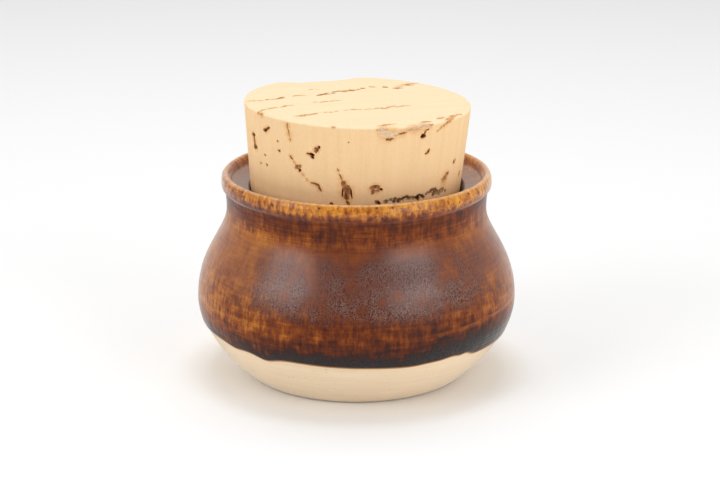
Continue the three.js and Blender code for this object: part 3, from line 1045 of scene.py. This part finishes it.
def cork_rings(cork):
    """Rings from the cork's bottom up its side, over its edge and in across its top."""
    length, top_r = cork.length / MM, cork.top_radius / MM
    slope = math.tan(cork.taper)
    side = [-length + CORK_EDGE]
    while side[-1] < -CORK_EDGE - LAST_STEP:
        side.append(side[-1] + (SIDE_STEP if side[-1] > -SHOWN else HIDDEN_STEP))
    side[-1] = -CORK_EDGE
    rings = [(top_r - length * slope - CORK_EDGE, -length)]
    rings += [(top_r + z * slope, z) for z in side]
    for i in range(1, EDGE_STEPS + 1):
        a = math.pi / 2 * i / EDGE_STEPS
        out = top_r - CORK_EDGE * (1 - math.cos(a))
        rings.append((out - EDGE_TUCK * math.sin(a), -CORK_EDGE * (1 - math.sin(a))))
    inward = top_r - CORK_EDGE - TOP_MARGIN
    while inward > 1:
        rings.append((inward, 0))
        inward -= TOP_STEP
    return rings


# Settings

class JarSettings(bpy.types.PropertyGroup):
    """Sizes and colours of the jar."""

    belly_radius: FloatProperty(
        name="Belly", description="Radius of the thrown belly", default=BELLY_R * MM,
        min=0.02, max=0.06, unit="LENGTH",
    )
    neck_radius: FloatProperty(
        name="Neck", description="Radius of the thrown neck", default=NECK_R * MM,
        min=0.02, max=0.05, unit="LENGTH",
    )
    glaze_height: FloatProperty(
        name="Glaze edge", description="Mean height of the glaze's lower edge",
        default=11.9 * MM, min=0.004, max=0.03, unit="LENGTH",
    )
    thin_glaze: FloatVectorProperty(
        name="Thin glaze", description="Amber of the glaze where it is thinnest",
        default=(0.74, 0.325, 0.032), min=0, max=1, subtype="COLOR",
    )
    glaze: FloatVectorProperty(
        name="Glaze", description="Brown of the glaze over most of the wall",
        default=(0.25, 0.061, 0.010), min=0, max=1, subtype="COLOR",
    )
    thick_glaze: FloatVectorProperty(
        name="Thick glaze", description="Near black of the glaze where it gathers",
        default=(0.021, 0.018, 0.020), min=0, max=1, subtype="COLOR",
    )
    crystals: FloatVectorProperty(
        name="Crystals", description="Warm grey of the fine crystals in the glaze",
        default=(0.24, 0.18, 0.145), min=0, max=1, subtype="COLOR",
    )
    clay: FloatVectorProperty(
        name="Clay", description="Buff of the bare clay",
        default=(0.88, 0.705, 0.50), min=0, max=1, subtype="COLOR",
    )
    clay_shade: FloatVectorProperty(
        name="Clay shade", description="Darker turning lines in the bare clay",
        default=(0.84, 0.655, 0.445), min=0, max=1, subtype="COLOR",
    )


class CorkSettings(bpy.types.PropertyGroup):
    """Sizes and colours of the cork."""

    top_radius: FloatProperty(
        name="Top", description="Radius of the cork's top", default=25.27 * MM,
        min=0.01, max=0.05, unit="LENGTH",
    )
    length: FloatProperty(
        name="Length", description="Length of the cork, about half of it above the lip",
        default=32 * MM, min=0.01, max=0.06, unit="LENGTH",
    )
    taper: FloatProperty(
        name="Taper", description="Slope of the cork's side", default=math.radians(5.09),
        min=0, max=0.3, subtype="ANGLE",
    )
    lean: FloatProperty(
        name="Lean", description="How far the cork leans to the right",
        default=math.radians(1.71), min=-0.2, max=0.2, subtype="ANGLE",
    )
    seed: IntProperty(name="Seed", description="Draw of the cork's ragged crumbs", default=7)
    colour: FloatVectorProperty(
        name="Cork", description="Cork on its side", default=(0.90, 0.63, 0.35),
        min=0, max=1, subtype="COLOR",
    )
    top_colour: FloatVectorProperty(
        name="Cork top", description="Cork across the grain, on its top",
        default=(0.93, 0.76, 0.50), min=0, max=1, subtype="COLOR",
    )


class StageSettings(bpy.types.PropertyGroup):
    """Floor, light and camera."""

    floor_colour: FloatVectorProperty(
        name="Floor", description="Colour of the floor", default=(0.93, 0.93, 0.93),
        min=0, max=1, subtype="COLOR",
    )
    surroundings: FloatProperty(
        name="Surroundings", description="Brightness of the white all round",
        default=0.755, min=0, max=3,
    )
    dim_side: FloatProperty(
        name="Dim side", description="How much dimmer the room is away from the white wall",
        default=0.74, min=0, max=1,
    )
    overhead_power: FloatProperty(
        name="Overhead light", description="Power of the large light above",
        default=1.85, min=0, max=100, unit="POWER",
    )
    left_power: FloatProperty(
        name="Left light", description="Power of the large light at the left",
        default=1.6, min=0, max=100, unit="POWER",
    )
    right_power: FloatProperty(
        name="Right light", description="Power of the large light at the right",
        default=1.6, min=0, max=100, unit="POWER",
    )
    camera_place: FloatVectorProperty(
        name="Camera", description="Where the camera stands",
        default=(0.0008, -0.43451, 0.16160), subtype="TRANSLATION", unit="LENGTH",
    )
    camera_tilt: FloatProperty(
        name="Camera tilt", description="How far the camera looks down",
        default=math.radians(16.865), subtype="ANGLE",
    )
    lens: FloatProperty(
        name="Lens", description="The camera's focal length in millimetres", default=100, min=10
    )


# Operators

class JAR_OT_jar(bpy.types.Operator):
    """Throw the jar, glaze it and leave its foot bare"""

    bl_idname = "corked_jar.jar"
    bl_label = "Jar"

    def execute(self, context):
        s = context.scene.jar_settings
        mean = s.glaze_height / MM
        rings = wall_rings(s)
        underside = [(rings[0][0] - FOOT_EDGE, 0)]
        jar = turn_up("glazed_jar", underside + rings + lip_rings(), JAR_AROUND)

        def above_edge(p):
            return p.z - glaze_edge(azimuth_of(p), mean) if p.z < RIM_Z else RIM_Z

        full = GLAZE_PROUD + CLAY_BACK + GLAZE_BEAD

        def thickness(p):
            outside = p.xy.length > NECK_R - 1 and p.z < GROOVE_Z
            up = above_edge(p)
            if not outside or up < -GLAZE_STEP:
                return 0
            step = smoothstep(-GLAZE_STEP / 2, GLAZE_STEP / 2, up)
            bead = GLAZE_BEAD * math.exp(-max(up, 0) / GLAZE_BEAD_TALL)
            return (full - GLAZE_BEAD + bead) * step * glazed_to_groove(p.z) / full

        mark(jar, "above_edge", above_edge)
        displace(jar, "glaze", thickness, full)
        waves = clouds("thrown", UNEVEN_WAVE)
        displace(jar, "thrown", lambda p: 1 if p.z > UNEVEN_FROM else 0, UNEVEN, texture=waves)
        bpy.ops.object.shade_smooth()
        jar.data.materials.append(glazed_clay(s))
        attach(jar, "root")
        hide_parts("jar")
        return {"FINISHED"}


class JAR_OT_cork(bpy.types.Operator):
    """Turn the tapered cork, cut its pores and cracks and set it in the throat"""

    bl_idname = "corked_jar.cork"
    bl_label = "Cork"

    def execute(self, context):
        s = context.scene.cork_settings
        rng = random.Random(s.seed)
        cork = turn_up("cork_stopper", cork_rings(s), CORK_AROUND)
        top_r = s.top_radius / MM

        def dip(p):
            outer = smoothstep(DIP_FROM_R, top_r, p.xy.length)
            near_top = smoothstep(DIP_FROM_Z, DIP_FULL_Z, p.z)
            off = turn_between(azimuth_of(p), DIP_AT) / DIP_WIDE
            return outer * near_top * math.exp(-(off**4))

        displace(cork, "dip", dip, -DIP_DEEP, direction="Z")
        whole = {tuple(round(c / MM, 3) for c in v.co) for v in cork.data.vertices}
        slope = math.tan(s.taper)
        places = [side_crumb(s, *crumb) for crumb in SIDE_CRUMBS + BARK]
        for path, wide, deep, gaps in TOP_CRACKS:
            places += crack_crumbs(path, wide, deep, gaps, rng)
        cut_out(cork, places, s.seed)

        pores = [(side_place(s, c[0], c[1]), (c[2] + c[3]) / 2) for c in SIDE_CRUMBS]
        cracks = [place.translation for place in places if place.translation.z == 0]
        pores += [(at, CRACK_STAIN) for at in cracks]
        facets = [(side_place(s, c[0], c[1]), c[2] / 2) for c in BROKEN_EDGE]
        rough = [(side_place(s, c[0], c[1]), (c[2] + c[3]) / 4 + BARK_SPREAD) for c in BARK]

        def stain(p):
            near = [(p - at).length / (size * STAIN_REACH) for at, size in pores]
            return math.exp(-(min(near) ** 2))

        def bark(p):
            near = [(p - at).length / size for at, size in rough]
            return math.exp(-(min(near) ** 2))

        def chip(p):
            near = [(p - at).length / size for at, size in facets]
            return smoothstep(1.1, 0.7, min(near))

        def on_top(p):
            return smoothstep(-0.5, -0.2, p.z + DIP_DEEP * dip(p))

        def pit(p):
            """How far inside the uncut cork a point of a pore lies."""
            if tuple(round(c, 3) for c in p) in whole:
                return 0
            return max(0, min(top_r + p.z * slope - p.xy.length, -p.z - DIP_DEEP * dip(p)))

        mark(cork, "pit", pit)
        mark(cork, "stain", stain)
        mark(cork, "bark", bark)
        mark(cork, "chip", chip)
        mark(cork, "on_top", on_top)
        deselect()
        cork.select_set(True)
        context.view_layer.objects.active = cork
        bpy.ops.object.shade_smooth_by_angle(angle=math.radians(SMOOTH_UP_TO))
        cork.location = CORK_PLACE * MM
        cork.rotation_euler = (0, s.lean, 0)
        bpy.ops.object.transform_apply(location=True, rotation=True, scale=True)
        cork.data.materials.clear()
        cork.data.materials.append(sanded_cork(s))
        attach(cork, "root")
        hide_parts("cork")
        return {"FINISHED"}


class JAR_OT_stage(bpy.types.Operator):
    """Lay the floor, light it and set up the camera"""

    bl_idname = "corked_jar.stage"
    bl_label = "Stage"

    def execute(self, context):
        s = context.scene.stage_settings
        deselect()
        bpy.ops.mesh.primitive_plane_add(size=FLOOR_WIDE, location=(0, 0, 0))
        floor = context.object
        floor.name = "floor"
        floor.data.materials.append(pale_floor(s))

        context.scene.world = white_room(s)
        context.scene.view_settings.view_transform = "Standard"
        self.light("overhead", *OVERHEAD_LIGHT, s.overhead_power)
        self.light("left", *LEFT_LIGHT, s.left_power)
        self.light("right", *RIGHT_LIGHT, s.right_power)

        bpy.ops.object.camera_add(
            location=s.camera_place, rotation=(math.pi / 2 - s.camera_tilt, 0, 0)
        )
        context.object.data.lens = s.lens
        context.object.data.sensor_width = SENSOR_WIDE
        context.scene.camera = context.object
        return {"FINISHED"}

    def light(self, name, place, size, power):
        toward = (LIT - place).to_track_quat("-Z", "Y").to_euler()
        bpy.ops.object.light_add(type="AREA", location=place, rotation=toward)
        lamp = bpy.context.object
        lamp.name = name
        lamp.data.size = size
        lamp.data.energy = power


class JAR_PT_panel(bpy.types.Panel):
    """The jar's pieces and their settings"""

    bl_idname = "JAR_PT_panel"
    bl_label = "Glazed corked jar"
    bl_space_type = "VIEW_3D"
    bl_region_type = "UI"
    bl_category = "Jar"

    def draw(self, context):
        for operator, settings in (
            (JAR_OT_jar, context.scene.jar_settings),
            (JAR_OT_cork, context.scene.cork_settings),
            (JAR_OT_stage, context.scene.stage_settings),
        ):
            box = self.layout.box()
            for name in settings.__annotations__:
                box.prop(settings, name)
            box.operator(operator.bl_idname)


CLASSES = (
    JarSettings, CorkSettings, StageSettings,
    JAR_OT_jar, JAR_OT_cork, JAR_OT_stage, JAR_PT_panel,
)
SETTINGS = {
    "jar_settings": JarSettings,
    "cork_settings": CorkSettings,
    "stage_settings": StageSettings,
}


def register():
    for cls in CLASSES:
        bpy.utils.register_class(cls)
    for name, cls in SETTINGS.items():
        setattr(bpy.types.Scene, name, PointerProperty(type=cls))


def unregister():
    for name in SETTINGS:
        delattr(bpy.types.Scene, name)
    for cls in reversed(CLASSES):
        bpy.utils.unregister_class(cls)


def main():
    register()
    bpy.ops.corked_jar.jar()
    bpy.ops.corked_jar.cork()
    bpy.ops.corked_jar.stage()


if __name__ == "__main__":
    main()
